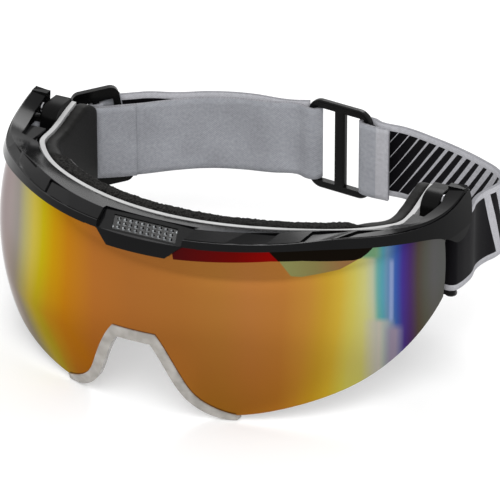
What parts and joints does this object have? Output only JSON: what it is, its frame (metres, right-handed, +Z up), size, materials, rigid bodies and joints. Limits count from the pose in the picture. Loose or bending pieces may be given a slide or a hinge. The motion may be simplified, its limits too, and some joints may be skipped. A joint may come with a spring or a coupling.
{
  "type": "ski goggles",
  "caption": "Nordic ski goggles: one-piece mirrored shield in a black brow shell that flips up on a padded carrier, with an elastic head strap.",
  "frame": {"origin": "the centre of the lens sphere, midway between the wearer's temples", "axes": "+X to the wearer's left, -Y forwards out of the lens, +Z up"},
  "size_m": [0.1818, 0.1408, 0.0726],
  "materials": {
    "shell_plastic": "satin black moulded shell",
    "grille_plastic": "moulded mesh",
    "mirror_lens": "multicoloured mirror coating on polycarbonate",
    "clear_trim": "clear soft trim",
    "hidden_plastic": "black moulded strip",
    "carrier_plastic": "pale grey moulded carrier",
    "block_plastic": "black moulded block",
    "steel": "bright steel",
    "foam": "black foam",
    "lining": "black fleece",
    "pad": "smooth black soft pad",
    "webbing_right": "printed elastic webbing",
    "webbing_left": "silver grey elastic webbing",
    "webbing_tail": "printed elastic webbing",
    "buckle_plastic": "black moulded buckle"
  },
  "bodies": {
    "carrier": {"carrier_frame": "carrier_plastic", "temple_block_right": "block_plastic", "temple_block_left": "block_plastic", "hinge_pin_right": "steel", "hinge_pin_left": "steel", "friction_washer_right": "steel", "friction_washer_left": "steel", "strap_bar_right": "steel", "strap_bar_left": "steel", "temple_pad_right": "pad", "temple_pad_left": "pad", "temple_screws": "steel", "brow_foam": "foam", "face_lining": "lining", "strap_right": "webbing_right", "strap_left": "webbing_left", "strap_tail": "webbing_tail", "connector_ring": "buckle_plastic"},
    "visor": {"visor_shell": "shell_plastic", "vent_grille": "grille_plastic", "lens": "mirror_lens", "nose_trim": "clear_trim", "lens_retainer": "hidden_plastic"},
    "slider": {"strap_slider": "buckle_plastic", "slider_loop": "webbing_tail"}
  },
  "joints": [
    {"name": "visor_flip", "type": "hinge", "parent": "carrier", "child": "visor", "pos_m": [0, -0.011, 0.0301], "axis": [-1, 0, 0], "range_deg": [0, 55]},
    {"name": "slider_slide", "type": "slide", "parent": "carrier", "child": "slider", "axis": [0.788, 0.6157, 0], "range_m": [-0.001, 0.004]}
  ]
}
